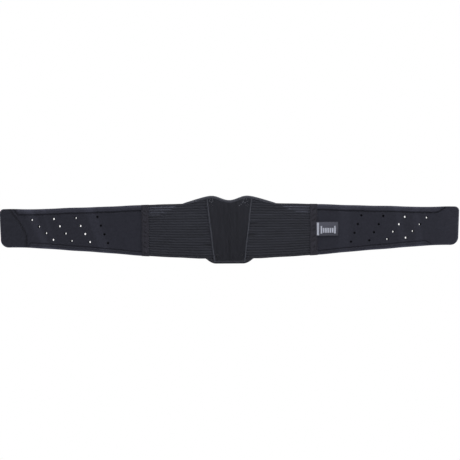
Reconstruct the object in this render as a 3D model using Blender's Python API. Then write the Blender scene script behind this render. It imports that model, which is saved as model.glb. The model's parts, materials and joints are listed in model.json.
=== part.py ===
"""Lumbar support belt, laid out flat: Blender 4.5, metres, +Z up the wearer's spine.

X runs along the belt, -Y is the outer face and +Y the body side. The origin is the middle of the
lumbar pad's body face. Every fabric and foam piece is a flat outline in XZ with a front and a back
depth in Y. Pieces that fold or stretch together hang on an empty that stands on their joint's axis.
"""

import math

import bpy
from mathutils import Vector

MM = 0.001

# Lengths along the belt, from the middle plane.
STAY_X = 46.5 * MM  # stay line, where centre panel and elastic meet, at half height
STAY_SLOPE = 0.117  # the stay line leans outwards going up, by this share
SEAM_X = 210 * MM  # seam between elastic and wing
BEND_X = 340 * MM  # line where a wing bends round the hip
TAB_X = 500 * MM  # line where the closing tab peels
END_TOP_X = 575 * MM
END_BOTTOM_X = 571 * MM
PAD_TIP_X = 198 * MM

# Heights.
SHOULDER_X = 44 * MM  # crest of the back panel's top edge
SHOULDER_Z = 85.5 * MM
DIP_Z = 74.5 * MM
SHOULDER_FALL = 0.32  # slope that the edge reaches beyond the crest
SHOULDER_ROUND = 16 * MM
PAD_EDGE_X = 112 * MM  # where the pad's top edge goes in behind the elastic
PAD_EDGE_FALL = 0.44
PAD_TIP_RISE = 4 * MM  # of the pad's tip above the elastic's bottom edge
BELT_TOP_Z = 67.2 * MM  # at PAD_EDGE_X
BELT_TOP_FALL = 0.0325
BELT_TOP_FLARE = 3 * MM  # by which the end of a wing widens upwards
FLARE_START_X = 470 * MM
FLARE_LENGTH = 80 * MM
BELT_BOTTOM_Z = -71 * MM
BELT_BOTTOM_RISE = 31 * MM
RISE_START_X = 75 * MM
RISE_END_X = 540 * MM
LIP_Z = -83 * MM
LIP_FLAT_X = 33 * MM
LIP_END_X = 58 * MM

# Front and back depth of each layer; more negative is further out.
PAD_LINING = (-0.9 * MM, 0.0)
PAD_FOAM = (-6.6 * MM, -1.2 * MM)
STAY = (-8.3 * MM, -7.0 * MM)
STAY_POCKET = (-9.2 * MM, -8.6 * MM)
CUSHION = (-9.8 * MM, -6.9 * MM)
MESH_PANEL = (-11.3 * MM, -10.1 * MM)
ELASTIC = (-9.8 * MM, -8.0 * MM)
SEAM_STRIP = (-11.1 * MM, -10.1 * MM)
SEAM_FOLD = (-7.7 * MM, -1.1 * MM)
SEAM_TAPE = (-0.8 * MM, 0.0)
WING_LINING = (-0.8 * MM, 0.0)
WING_FOAM = (-7.4 * MM, -1.1 * MM)
WING_COVER = (-8.8 * MM, -7.7 * MM)
TAB_WEB = (-8.4 * MM, -1.6 * MM)
TAB_GRIP = (-9.7 * MM, -8.7 * MM)
HOOK_PAD = (-1.3 * MM, 0.5 * MM)
BADGE = (-10.7 * MM, -9.1 * MM)
BADGE_BAR = (-11.5 * MM, -11.0 * MM)

# Small parts.
GAP = 0.3 * MM  # between neighbours
EDGE_BAND = 7.0 * MM  # margin that the edge binding takes of the panels over the pad
BINDING_WALL = 0.8 * MM
BINDING_LIP = 5.5 * MM
BINDING_END = 1.0 * MM  # how far the tapes stop short of the stay line, which is a fold
PIPING_R = 1.6 * MM
PIPING_Y = -10.3 * MM
PIPING_CLEAR = 2.0 * MM
PIPING_TOP_Z = 75 * MM
PIPING_BOTTOM_Z = -75 * MM
STAY_W = 9 * MM
STAY_H = 132 * MM
STAY_INSET = 9 * MM  # from stay line to the stay's middle
POCKET_W = 14 * MM
POCKET_H = 140 * MM
STRIP_HALF_W = 9.2 * MM
HOLE_R = 2.4 * MM
HOLES_ALONG = 4
HOLES_DOWN = 4
OPEN_COLUMNS = {"left": 3, "right": 2}  # outer columns that go through the lining too
HOLE_STEPS = 10
BADGE_BOX = (216.5 * MM, 271 * MM, -16 * MM, 19 * MM)
BADGE_BAR_W = 6 * MM
GRIP_INNER_X = 504 * MM
GRIP_TOP_X = 549 * MM  # where the grip patch's curved side meets the top edge
GRIP_TURN_Z = -16 * MM
TOP_CORNER_R = 14 * MM
BOTTOM_CORNER_R = 26 * MM
PAD_TIP_R = 16 * MM

# Corners of the perforated field, as (x, z).
FIELD_INNER_TOP = (329 * MM, 35 * MM)
FIELD_OUTER_TOP = (493 * MM, 28.3 * MM)
FIELD_INNER_BOTTOM = (303 * MM, -30.6 * MM)
FIELD_OUTER_BOTTOM = (440 * MM, -21.5 * MM)

SIDES = (("left", -1), ("right", 1))


# ---------------------------------------------------------------- outlines


def lerp(a, b, t):
    return a + (b - a) * t


def smoothstep(t):
    t = min(max(t, 0.0), 1.0)
    return t * t * (3 - 2 * t)


def spaced(a, b, steps):
    return [lerp(a, b, i / steps) for i in range(steps + 1)]


def stay_line(z):
    """Distance of the stay line from the middle plane at height z."""
    return STAY_X + STAY_SLOPE * z


def crest(x):
    """Height of the back panel's top edge: a dip between two shoulders."""
    x = abs(x)
    if x < SHOULDER_X:
        return lerp(DIP_Z, SHOULDER_Z, (1 - math.cos(math.pi * x / SHOULDER_X)) / 2)
    if x > PAD_EDGE_X:
        return crest(PAD_EDGE_X) - PAD_EDGE_FALL * (x - PAD_EDGE_X)
    run = x - SHOULDER_X
    return SHOULDER_Z - SHOULDER_FALL * (math.hypot(run, SHOULDER_ROUND) - SHOULDER_ROUND)


def lip(x):
    """Height of the back panel's bottom edge."""
    t = max((abs(x) - LIP_FLAT_X) / (LIP_END_X - LIP_FLAT_X), 0.0)
    return lerp(LIP_Z, BELT_BOTTOM_Z, t * t)


def belt_top(x):
    flare = BELT_TOP_FLARE * smoothstep((x - FLARE_START_X) / FLARE_LENGTH)
    return BELT_TOP_Z - BELT_TOP_FALL * (x - PAD_EDGE_X) + flare


def belt_bottom(x):
    """Rises nearly straight towards the end, a little steeper half way."""
    run = min(max((x - RISE_START_X) / (RISE_END_X - RISE_START_X), 0.0), 1.0)
    return BELT_BOTTOM_Z + BELT_BOTTOM_RISE * (run + smoothstep(run)) / 2


def inside(edge, x, inset):
    """Height at x that lies this far inside an edge, square to it; the sign says below or above."""
    step = 0.1 * MM
    slope = (edge(x + step) - edge(x - step)) / (2 * step)
    return edge(x) - inset * math.hypot(1.0, slope)


def stay_cut(edge, inset, offset):
    """Distance at which the stay line, moved outwards by an offset, meets an edge's inset line."""
    x = STAY_X
    for _ in range(4):
        x = stay_line(inside(edge, x, inset)) + offset
    return x


def fillet(before, corner, after, radius, steps=5):
    """Points of an arc-like curve that rounds a corner of an outline."""
    corner = Vector(corner)
    first = corner + (Vector(before) - corner).normalized() * radius
    last = corner + (Vector(after) - corner).normalized() * radius
    points = []
    for i in range(steps + 1):
        t = i / steps
        points.append(tuple(first.lerp(corner, t).lerp(corner.lerp(last, t), t)))
    return points


def pad_tip(inset):
    """The pad wing's free end, tucked behind the elastic, from its top edge round to its bottom one."""
    x = PAD_TIP_X - inset
    top = (x, crest(x) - inset)
    bottom = (x, belt_bottom(x) + PAD_TIP_RISE + inset)
    start = (PAD_EDGE_X, crest(PAD_EDGE_X) - inset)
    end = (LIP_END_X, BELT_BOTTOM_Z + inset)
    return fillet(start, top, bottom, PAD_TIP_R) + fillet(top, bottom, end, PAD_TIP_R)


def pad_centre(inset):
    """Outline of the pad between the two stay lines."""
    top_x = stay_cut(crest, inset, -GAP)
    bottom_x = stay_cut(lip, -inset, -GAP)
    top = [(x, inside(crest, x, inset)) for x in spaced(-top_x, top_x, 16)]
    bottom = [(x, inside(lip, x, -inset)) for x in spaced(bottom_x, -bottom_x, 8)]
    return top + bottom


def pad_wing(inset):
    """Outline of the pad beyond the stay line."""
    top_x = stay_cut(crest, inset, GAP)
    bottom_x = stay_cut(lip, -inset, GAP)
    top = [(x, inside(crest, x, inset)) for x in spaced(top_x, PAD_EDGE_X, 8)]
    bottom = [(x, inside(lip, x, -inset)) for x in spaced(LIP_END_X, bottom_x, 5)]
    return top + pad_tip(inset) + bottom


def centre_panel(side_margin, edge_margin):
    """Funnel-shaped outline between the stay lines, clear of the edge bindings."""
    top_x = stay_cut(crest, edge_margin, -side_margin)
    bottom_x = stay_cut(lip, -edge_margin, -side_margin)
    top = [(x, inside(crest, x, edge_margin)) for x in spaced(-top_x, top_x, 12)]
    bottom = [(bottom_x, LIP_Z + edge_margin), (-bottom_x, LIP_Z + edge_margin)]
    return top + bottom


def elastic_panel():
    """From the stay line to the seam, under the edge of the back panel and then along the belt's."""
    top_x = stay_cut(crest, EDGE_BAND, PIPING_CLEAR)
    bottom_x = stay_line(BELT_BOTTOM_Z) + PIPING_CLEAR
    corner_x = PAD_EDGE_X + EDGE_BAND
    end_x = SEAM_X - GAP
    top = [(x, inside(crest, x, EDGE_BAND)) for x in spaced(top_x, PAD_EDGE_X - EDGE_BAND, 7)]
    straight = [(x, belt_top(x)) for x in spaced(corner_x, end_x, 3)]
    bottom = [(x, belt_bottom(x)) for x in spaced(end_x, bottom_x, 6)]
    return top + straight + bottom


def wing_part(start_x, end_x, inset=0.0):
    """A length of wing between two straight cuts."""
    top = [(x, belt_top(x) - inset) for x in spaced(start_x, end_x, 6)]
    bottom = [(x, belt_bottom(x) + inset) for x in spaced(end_x, start_x, 6)]
    return top + bottom


def rounded_end(start_x, inset=0.0):
    """The wing's end from its top edge, round both corners and back along the bottom to start_x."""
    shoulder_x = END_BOTTOM_X - 2 * BOTTOM_CORNER_R
    above = (GRIP_TOP_X, belt_top(GRIP_TOP_X) - inset)
    top = (END_TOP_X - inset, belt_top(END_TOP_X) - inset)
    bottom = (END_BOTTOM_X - inset, belt_bottom(END_BOTTOM_X) + inset)
    shoulder = (shoulder_x, belt_bottom(shoulder_x) + inset)
    lower = [(x, belt_bottom(x) + inset) for x in spaced(shoulder_x, start_x, 4)]
    round_top = fillet(above, top, bottom, TOP_CORNER_R)
    round_bottom = fillet(top, bottom, shoulder, BOTTOM_CORNER_R)
    return round_top + round_bottom + lower


def wing_end(start_x, inset=0.0):
    """The last length of wing, with its rounded end."""
    top = [(x, belt_top(x) - inset) for x in spaced(start_x, GRIP_TOP_X, 3)]
    return top + rounded_end(start_x, inset)


def grip_patch(inset):
    """D-shaped outline of the closing tab's outer patch: its inner side curves out to the top edge."""
    top_z = belt_top(GRIP_TOP_X) - inset
    inner = []
    for t in spaced(0.0, 1.0, 6):
        inner.append((lerp(GRIP_INNER_X, GRIP_TOP_X, t * t), lerp(GRIP_TURN_Z, top_z, t)))
    return inner + rounded_end(GRIP_INNER_X + 2 * MM, inset)


def box(x0, x1, z0, z1):
    return [(x0, z0), (x1, z0), (x1, z1), (x0, z1)]


def slanted_box(distance, width, height):
    """A strip parallel to the stay line, at this distance inside it."""
    low, high = -height / 2, height / 2
    corners = []
    for z, shift in ((low, -1), (low, 1), (high, 1), (high, -1)):
        corners.append((stay_line(z) - distance + shift * width / 2, z))
    return corners


def holes_between(start_x, end_x, columns=HOLES_ALONG):
    """Centres of the perforations, in the outer columns, on this length of wing."""
    centres = []
    for i in range(HOLES_ALONG - columns, HOLES_ALONG):
        u = i / (HOLES_ALONG - 1)
        top = Vector(FIELD_INNER_TOP).lerp(Vector(FIELD_OUTER_TOP), u)
        bottom = Vector(FIELD_INNER_BOTTOM).lerp(Vector(FIELD_OUTER_BOTTOM), u)
        for j in range(HOLES_DOWN):
            centres.append(tuple(top.lerp(bottom, j / (HOLES_DOWN - 1))))
    return [c for c in centres if start_x < c[0] < end_x]


# ---------------------------------------------------------------- building


def clear_scene():
    for obj in list(bpy.data.objects):
        bpy.data.objects.remove(obj)


def finish(name, colour, roughness, metallic=0.0):
    """A plain Principled material."""
    made = bpy.data.materials.new(name)
    made.use_nodes = True
    shader = made.node_tree.nodes["Principled BSDF"]
    shader.inputs["Base Color"].default_value = (*colour, 1.0)
    shader.inputs["Roughness"].default_value = roughness
    shader.inputs["Metallic"].default_value = metallic
    return made


def poly_spline(data, points, closed=True):
    spline = data.splines.new("POLY")
    spline.points.add(len(points) - 1)
    for place, point in zip(spline.points, points):
        place.co = (*point, 1.0)
    spline.use_cyclic_u = closed
    return spline


def circle(centre, radius, steps):
    turns = [2 * math.pi * i / steps for i in range(steps)]
    return [(centre[0] + radius * math.cos(a), centre[1] + radius * math.sin(a)) for a in turns]


def place(obj, collection, material, holder):
    obj.data.materials.append(material)
    collection.objects.link(obj)
    if holder is not None:
        obj.parent = holder
        obj.matrix_parent_inverse = holder.matrix_world.inverted()
    return obj


def flat(belt, name, outline, layer, material, holder=None, side=1, holes=()):
    """A sheet cut to an outline in XZ, lying between the two depths of its layer."""
    front, back = layer
    data = bpy.data.curves.new(name, "CURVE")
    data.dimensions = "2D"
    data.fill_mode = "BOTH"
    data.extrude = (back - front) / 2
    poly_spline(data, [(side * x, z, 0.0) for x, z in outline])
    for centre in holes:
        poly_spline(data, [(side * x, z, 0.0) for x, z in circle(centre, HOLE_R, HOLE_STEPS)])
    obj = bpy.data.objects.new(name, data)
    obj.location = (0.0, (front + back) / 2, 0.0)
    obj.rotation_euler = (math.pi / 2, 0.0, 0.0)
    return place(obj, belt, material, holder)


def piping(belt, name, material, side):
    """A corded tube along the stay line."""
    data = bpy.data.curves.new(name, "CURVE")
    data.dimensions = "3D"
    data.bevel_depth = PIPING_R
    data.bevel_resolution = 2
    data.use_fill_caps = True
    ends = (PIPING_BOTTOM_Z, PIPING_TOP_Z)
    poly_spline(data, [(side * stay_line(z), PIPING_Y, z) for z in ends], closed=False)
    return place(bpy.data.objects.new(name, data), belt, material, None)


def binding_profile(helpers):
    """Cross-section of the edge tape: a channel that the foam's edge sits in, open towards -X."""
    front = PAD_FOAM[0] - GAP - BINDING_WALL
    back = PAD_FOAM[1] + GAP + BINDING_WALL
    middle = (front + back) / 2
    outer = (back - front) / 2
    inner = outer - BINDING_WALL
    web = BINDING_WALL
    data = bpy.data.curves.new("binding_profile", "CURVE")
    data.dimensions = "2D"
    shape = [
        (-BINDING_LIP, -outer),
        (-BINDING_LIP, -inner),
        (0.0, -inner),
        (0.0, inner),
        (-BINDING_LIP, inner),
        (-BINDING_LIP, outer),
        (web, outer),
        (web, -outer),
    ]
    poly_spline(data, [(x, y, 0.0) for x, y in shape])
    obj = bpy.data.objects.new("binding_profile", data)
    obj.hide_render = True
    obj.display_type = "WIRE"
    helpers.objects.link(obj)
    return obj, middle


def binding(belt, name, path, profile, material, holder=None):
    """Folded tape over the pad's edge. The path runs so that the pad lies on its left."""
    shape, middle = profile
    data = bpy.data.curves.new(name, "CURVE")
    data.dimensions = "2D"
    data.bevel_mode = "OBJECT"
    data.bevel_object = shape
    data.use_fill_caps = True
    poly_spline(data, [(x, z, 0.0) for x, z in path], closed=False)
    obj = bpy.data.objects.new(name, data)
    obj.location = (0.0, middle, 0.0)
    obj.rotation_euler = (math.pi / 2, 0.0, 0.0)
    return place(obj, belt, material, holder)


def joint_empty(helpers, name, location, holder=None):
    """Marks a joint: it stands on the axis."""
    empty = bpy.data.objects.new(name, None)
    empty.empty_display_size = 0.03
    empty.location = location
    helpers.objects.link(empty)
    bpy.context.view_layer.update()
    if holder is not None:
        empty.parent = holder
        empty.matrix_parent_inverse = holder.matrix_world.inverted()
        bpy.context.view_layer.update()
    return empty


# ---------------------------------------------------------------- sub-assemblies


def back_panel(belt, mats, profile):
    """The rigid middle: pad, cushion, stays, mesh panel, piping and edge tapes."""
    wall = BINDING_WALL + GAP
    flat(belt, "back_pad_foam", pad_centre(wall), PAD_FOAM, mats["foam"])
    flat(belt, "back_pad_lining", pad_centre(EDGE_BAND), PAD_LINING, mats["lining"])
    cushion = centre_panel(STAY_INSET + POCKET_W / 2 + 1.5 * MM, EDGE_BAND + 3 * MM)
    flat(belt, "lumbar_cushion", cushion, CUSHION, mats["foam"])
    mesh = centre_panel(PIPING_CLEAR, EDGE_BAND)
    flat(belt, "centre_mesh_panel", mesh, MESH_PANEL, mats["mesh"])
    for name, side in SIDES:
        strip = slanted_box(STAY_INSET, STAY_W, STAY_H)
        pocket = slanted_box(STAY_INSET, POCKET_W, POCKET_H)
        flat(belt, f"{name}_stay", strip, STAY, mats["stay"], side=side)
        flat(belt, f"{name}_stay_pocket", pocket, STAY_POCKET, mats["tape"], side=side)
        piping(belt, f"{name}_piping", mats["piping"], side)
    top_x = stay_cut(crest, 0.0, -BINDING_END)
    bottom_x = stay_cut(lip, 0.0, -BINDING_END)
    top = [(x, crest(x) - BINDING_WALL) for x in spaced(top_x, -top_x, 18)]
    bottom = [(x, lip(x) + BINDING_WALL) for x in spaced(-bottom_x, bottom_x, 4)]
    binding(belt, "top_binding", top, profile, mats["tape"])
    binding(belt, "bottom_binding", bottom, profile, mats["tape"])


def side_panel(belt, mats, profile, name, side, fold):
    """What folds at the stay line: the pad's wing, its edge tapes and the elastic over it."""
    wall = BINDING_WALL + GAP
    wing, lining = pad_wing(wall), pad_wing(EDGE_BAND)
    flat(belt, f"{name}_pad_wing_foam", wing, PAD_FOAM, mats["foam"], fold, side)
    flat(belt, f"{name}_pad_wing_lining", lining, PAD_LINING, mats["lining"], fold, side)
    elastic = elastic_panel()
    flat(belt, f"{name}_elastic_panel", elastic, ELASTIC, mats["elastic"], fold, side)
    top_xs = spaced(stay_cut(crest, 0.0, 1.5 * BINDING_END), PAD_EDGE_X, 7)
    bottom_xs = spaced(LIP_END_X, stay_cut(lip, 0.0, 2.6 * BINDING_END), 5)
    top = [(side * x, crest(x) - BINDING_WALL) for x in top_xs]
    bottom = [(side * x, lip(x) + BINDING_WALL) for x in bottom_xs]
    if side > 0:
        top.reverse()
        bottom.reverse()
    binding(belt, f"{name}_top_binding", top, profile, mats["tape"], fold)
    binding(belt, f"{name}_bottom_binding", bottom, profile, mats["tape"], fold)


def seam(belt, mats, name, side, slide):
    """The sewn joint that the elastic pulls on: outer strip, folded edges and inner tape."""
    low, high = belt_bottom(SEAM_X), belt_top(SEAM_X)
    outer = wing_part(SEAM_X - STRIP_HALF_W, SEAM_X + STRIP_HALF_W)
    fold = box(SEAM_X - 7 * MM, SEAM_X - GAP, low + 2 * MM, high - 2 * MM)
    tape = box(SEAM_X - STRIP_HALF_W, SEAM_X - GAP, low + MM, high - MM)
    flat(belt, f"{name}_seam_strip", outer, SEAM_STRIP, mats["strip"], slide, side)
    flat(belt, f"{name}_seam_fold", fold, SEAM_FOLD, mats["lining"], slide, side)
    flat(belt, f"{name}_seam_tape", tape, SEAM_TAPE, mats["tape"], slide, side)


def wing_layers(belt, mats, name, part, side, holder, shape, span):
    """Cover, foam and lining of one length of wing. The lining closes the inner perforations."""
    through = holes_between(*span)
    open_behind = holes_between(*span, OPEN_COLUMNS[name])
    layers = (
        ("cover", WING_COVER, "cover", 0.0),
        ("foam", WING_FOAM, "foam", 0.5 * MM),
        ("lining", WING_LINING, "lining", 0.3 * MM),
    )
    for layer, depth, material, inset in layers:
        label = f"{name}_wing_{layer}_{part}"
        holes = open_behind if layer == "lining" else through
        flat(belt, label, shape(inset), depth, mats[material], holder, side, holes)


def closing_tab(belt, mats, holder):
    """The left end, which is lifted to open the belt: web, outer grip patch and hook pad."""
    start = TAB_X + GAP
    flat(belt, "left_tab_web", wing_end(start), TAB_WEB, mats["cover"], holder, -1)
    flat(belt, "left_tab_grip", grip_patch(0.8 * MM), TAB_GRIP, mats["grip"], holder, -1)
    hook = wing_end(start + 3 * MM, 4 * MM)
    flat(belt, "left_hook_pad", hook, HOOK_PAD, mats["hook"], holder, -1)


def badge(belt, mats, holder):
    """A blank sewn-on label with a pale bar, beside the right seam."""
    x0, x1, z0, z1 = BADGE_BOX
    bar = box(x0, x0 + BADGE_BAR_W, z0 + MM, z1 - MM)
    flat(belt, "badge", box(x0 + 3 * MM, x1, z0, z1), BADGE, mats["badge"], holder)
    flat(belt, "badge_bar", [(x + 3.5 * MM, z) for x, z in bar], BADGE_BAR, mats["bar"], holder)


def materials():
    return {
        "cover": finish("wing_cover", (0.024, 0.025, 0.032), 0.85),
        "foam": finish("foam", (0.06, 0.06, 0.065), 0.95),
        "lining": finish("lining", (0.022, 0.022, 0.026), 0.9),
        "mesh": finish("centre_mesh", (0.020, 0.021, 0.025), 0.8),
        "elastic": finish("elastic", (0.027, 0.028, 0.034), 0.75),
        "strip": finish("seam_strip", (0.029, 0.028, 0.035), 0.7),
        "tape": finish("edge_tape", (0.030, 0.031, 0.037), 0.6),
        "piping": finish("piping", (0.050, 0.053, 0.064), 0.5),
        "stay": finish("stay", (0.75, 0.75, 0.72), 0.4),
        "grip": finish("grip_patch", (0.023, 0.024, 0.031), 0.8),
        "hook": finish("hook_pad", (0.018, 0.018, 0.02), 0.6),
        "badge": finish("badge", (0.065, 0.068, 0.085), 0.4),
        "bar": finish("badge_bar", (0.55, 0.56, 0.62), 0.4),
    }


def build():
    clear_scene()
    belt = bpy.data.collections.new("lumbar_support_belt")
    helpers = bpy.data.collections.new("helpers")
    for collection in (belt, helpers):
        bpy.context.scene.collection.children.link(collection)
    mats = materials()
    profile = binding_profile(helpers)
    back_panel(belt, mats, profile)
    outer_face = WING_COVER[0]
    for name, side in SIDES:
        fold = joint_empty(helpers, f"{name}_wrap", (side * STAY_X, 0.0, 0.0))
        side_panel(belt, mats, profile, name, side, fold)
        slide = joint_empty(helpers, f"{name}_stretch", (side * SEAM_X, 0.0, 0.0), fold)
        seam(belt, mats, name, side, slide)
        hip = joint_empty(helpers, f"{name}_seam_fold_axis", (side * SEAM_X, 0.0, 0.0), slide)
        inner = (SEAM_X + GAP, BEND_X - GAP)
        wing_layers(
            belt, mats, name, "inner", side, hip, lambda inset: wing_part(*inner, inset), inner
        )
        bend = joint_empty(helpers, f"{name}_wing_bend", (side * BEND_X, 0.0, 0.0), hip)
        if side > 0:
            outer = (BEND_X + GAP, END_TOP_X)
            wing_layers(
                belt, mats, name, "outer", side, bend, lambda inset: wing_end(outer[0], inset), outer
            )
            badge(belt, mats, hip)
        else:
            outer = (BEND_X + GAP, TAB_X - GAP)
            wing_layers(
                belt, mats, name, "outer", side, bend, lambda inset: wing_part(*outer, inset), outer
            )
            peel = joint_empty(helpers, "left_tab_peel", (-TAB_X, outer_face, 0.0), bend)
            closing_tab(belt, mats, peel)


build()
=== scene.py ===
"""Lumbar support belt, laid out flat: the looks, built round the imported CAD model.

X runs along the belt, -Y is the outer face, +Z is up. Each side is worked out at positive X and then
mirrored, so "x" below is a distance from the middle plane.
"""

import json
import math

import bmesh
import bpy
import numpy as np
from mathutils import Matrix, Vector


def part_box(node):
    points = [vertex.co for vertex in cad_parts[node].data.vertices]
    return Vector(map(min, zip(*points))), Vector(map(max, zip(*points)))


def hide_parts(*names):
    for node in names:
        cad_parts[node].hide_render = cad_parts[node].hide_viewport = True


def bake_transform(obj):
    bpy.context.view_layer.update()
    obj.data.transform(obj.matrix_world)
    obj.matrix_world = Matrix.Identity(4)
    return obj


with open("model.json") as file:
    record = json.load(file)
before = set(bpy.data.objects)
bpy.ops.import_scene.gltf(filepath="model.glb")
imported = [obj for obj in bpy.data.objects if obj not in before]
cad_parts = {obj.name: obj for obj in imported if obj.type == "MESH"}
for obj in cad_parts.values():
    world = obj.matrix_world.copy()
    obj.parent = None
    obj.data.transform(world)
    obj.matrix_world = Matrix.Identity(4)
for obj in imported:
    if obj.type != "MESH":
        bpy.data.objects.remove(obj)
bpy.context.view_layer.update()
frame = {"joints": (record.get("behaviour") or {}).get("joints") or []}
MM = 0.001
SIDES = (("left", -1), ("right", 1))
JOINTS = {j["name"]: j for j in frame["joints"]}

# Joint axes, as distances from the middle plane.
WRAP_X = abs(JOINTS["right_wrap"]["pos_m"][0])
SEAM_X = abs(JOINTS["right_hip_fold"]["pos_m"][0])
# Where one piece ends and the next begins, on stretches that follow a single body.
ELASTIC_SPLIT = 74 * MM
WING_SPLIT = 268 * MM
TAB_SPLIT = 430 * MM

# Outlines, as in the CAD.
END_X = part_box("right_wing_cover_outer")[1].x
END_LEAN = 4 * MM
SHOULDER_X = 44 * MM
SHOULDER_Z = 85.5 * MM
DIP_Z = 74.5 * MM
SHOULDER_FALL = 0.32
SHOULDER_ROUND = 16 * MM
PAD_EDGE_X = 112 * MM
PAD_EDGE_FALL = 0.44
PAD_TIP_X = 198 * MM
BELT_TOP_Z = 67.2 * MM
BELT_TOP_FALL = 0.0325
BELT_TOP_FLARE = 3 * MM
FLARE_START_X = 470 * MM
FLARE_LENGTH = 80 * MM
BELT_BOTTOM_Z = -71 * MM
BELT_BOTTOM_RISE = 31 * MM
RISE_START_X = 75 * MM
RISE_END_X = 540 * MM
LIP_Z = -83 * MM
LIP_FLAT_X = 33 * MM
LIP_END_X = 58 * MM
STAY_SLOPE = 0.117
# Perforations: their radius, the columns that go right through, and the field's corners, in mm.
HOLE_R = 2.8 * MM
OPEN_COLUMNS = {"left": 3, "right": 2}
FIELD = ((329, 35), (493, 28.3), (303, -30.6), (440, -21.5))
# Depths of the outer faces and how far the wings' edges are rounded.
WING_FACE = -8.3 * MM
WING_BACK = -1.0 * MM
COVER_ROUND = 3.6 * MM
LINING_ROUND = 1.4 * MM
STRIP_FACE = -11.1 * MM
BINDING_FACE = -11.0 * MM
LIGHT_FLECK_FACE = -11.5 * MM
# Stitched lines on the wings' rolls, beyond the creases: distance and half width, and the bottom one.
TOP_LINES = ((7.0 * MM, 0.9 * MM), (10.5 * MM, 0.8 * MM))
BOTTOM_LINE = 5.5 * MM
# Bands of painted sheen on the wings, where they have been bent: place along the belt, lean, half width
# and added brightness.
SHEEN_BANDS = (
    (-0.475, -0.50, 0.011, 0.36),
    (-0.447, -0.30, 0.005, 0.14),
    (-0.329, -0.38, 0.013, 0.30),
    (0.286, 0.05, 0.014, 0.18),
    (0.427, -0.16, 0.008, 0.22),
    (0.470, -0.12, 0.009, 0.22),
    (0.560, 0.05, 0.030, 0.10),
)
# Closing patch: its inner side runs from the belt's bottom edge to a point further out at the top.
PATCH_X = 504 * MM
PATCH_TOP_X = 549 * MM
PATCH_TURN_Z = -16 * MM
# Elastic: ribs from edge to edge, the channel's place as a share of a rib, and the rear face.
RIBS = 21
CHANNEL = 0.90
ELASTIC_BACK = -8.0 * MM
# Painted light where light shows through the ladder's openings in the stretched upper channels, from
# these distances outwards, in mm.
LIGHT_THROUGH_LADDER = {"left": {16: 168, 17: 151, 18: 140, 19: 129}, "right": {17: 158, 18: 138, 19: 128}}
# Folds beside the piping: where each ends, its height, its length and its depth, in mm.
PUCKERS = {
    "left": ((76, -37, 22, 2.2), (70, 5, 16, 0.6), (66, 33, 14, 0.5)),
    "right": ((80, 15, 22, 3.2), (76, -12, 20, 2.2), (66, -34, 14, 0.6), (64, 40, 12, 0.5)),
}
# Tape over the seam between elastic and wing, its tacks, and the ribs of the back panel's mesh.
STRIP_HALF = 9.2 * MM
TACK_PITCH = 13 * MM
MESH_RIB = 3.6 * MM
# Spacing of grid lines over a rounded edge, as shares of its radius.
RIM_SHARES = np.array([0.0, 0.04, 0.15, 0.32, 0.55])


# ---------------------------------------------------------------- outlines


def ramp(t):
    """0 before 0, 1 after 1, smooth between."""
    t = np.clip(t, 0.0, 1.0)
    return t * t * (3 - 2 * t)


def bell(t):
    return np.exp(-t * t)


def rise(value, start, length):
    """0 before a start and 1 a length later, both in mm."""
    return ramp((value - start * MM) / (length * MM))


def ridge(value, place, width):
    """1 at a place, and little beyond a width on either side of it, both in mm."""
    return bell((value - place * MM) / (width * MM))


def stay_line(z):
    return WRAP_X + STAY_SLOPE * z


def crest(x):
    """Top edge of the back panel: a dip between two shoulders, then a fall behind the elastic."""
    x = np.abs(x)
    dip = DIP_Z + (SHOULDER_Z - DIP_Z) * (1 - np.cos(np.pi * x / SHOULDER_X)) / 2
    run = np.clip(x, SHOULDER_X, PAD_EDGE_X) - SHOULDER_X
    fall = SHOULDER_Z - SHOULDER_FALL * (np.hypot(run, SHOULDER_ROUND) - SHOULDER_ROUND)
    fall = fall - PAD_EDGE_FALL * np.maximum(x - PAD_EDGE_X, 0.0)
    return np.where(x < SHOULDER_X, dip, fall)


def lip(x):
    """Bottom edge of the back panel."""
    x = np.abs(x)
    t = np.clip((x - LIP_FLAT_X) / (LIP_END_X - LIP_FLAT_X), 0.0, 1.0)
    return LIP_Z + (BELT_BOTTOM_Z - LIP_Z) * t * t + 0.058 * np.maximum(x - LIP_END_X, 0.0)


def sway(x):
    """Slight waviness of a cut and sewn edge."""
    return 0.3 * MM * np.sin(x / (29 * MM)) + 0.2 * MM * np.sin(x / (12.5 * MM) + 1.0)


def belt_top(x):
    flare = BELT_TOP_FLARE * ramp((x - FLARE_START_X) / FLARE_LENGTH)
    return BELT_TOP_Z - BELT_TOP_FALL * (x - PAD_EDGE_X) + flare + sway(x)


def belt_bottom(x):
    run = np.clip((x - RISE_START_X) / (RISE_END_X - RISE_START_X), 0.0, 1.0)
    return BELT_BOTTOM_Z + BELT_BOTTOM_RISE * (run + ramp(run)) / 2 - sway(x + 9 * MM)


def end_line(z, end, top, bottom, top_r, bottom_r):
    """Distance of a rounded end at height z."""
    lean = END_LEAN * np.clip((top - z) / (top - bottom), 0.0, 1.0)
    over = np.clip((z - (top - top_r)) / top_r, 0.0, 1.0)
    under = np.clip(((bottom + bottom_r) - z) / bottom_r, 0.0, 1.0)
    cut = top_r * (1 - np.sqrt(1 - over**2)) + bottom_r * (1 - np.sqrt(1 - under**2))
    return end - lean - cut


def wing_end_line(z):
    ends = (belt_top(END_X), belt_bottom(END_X))
    return end_line(z, END_X, *ends, top_r=11 * MM, bottom_r=19 * MM)


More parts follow.
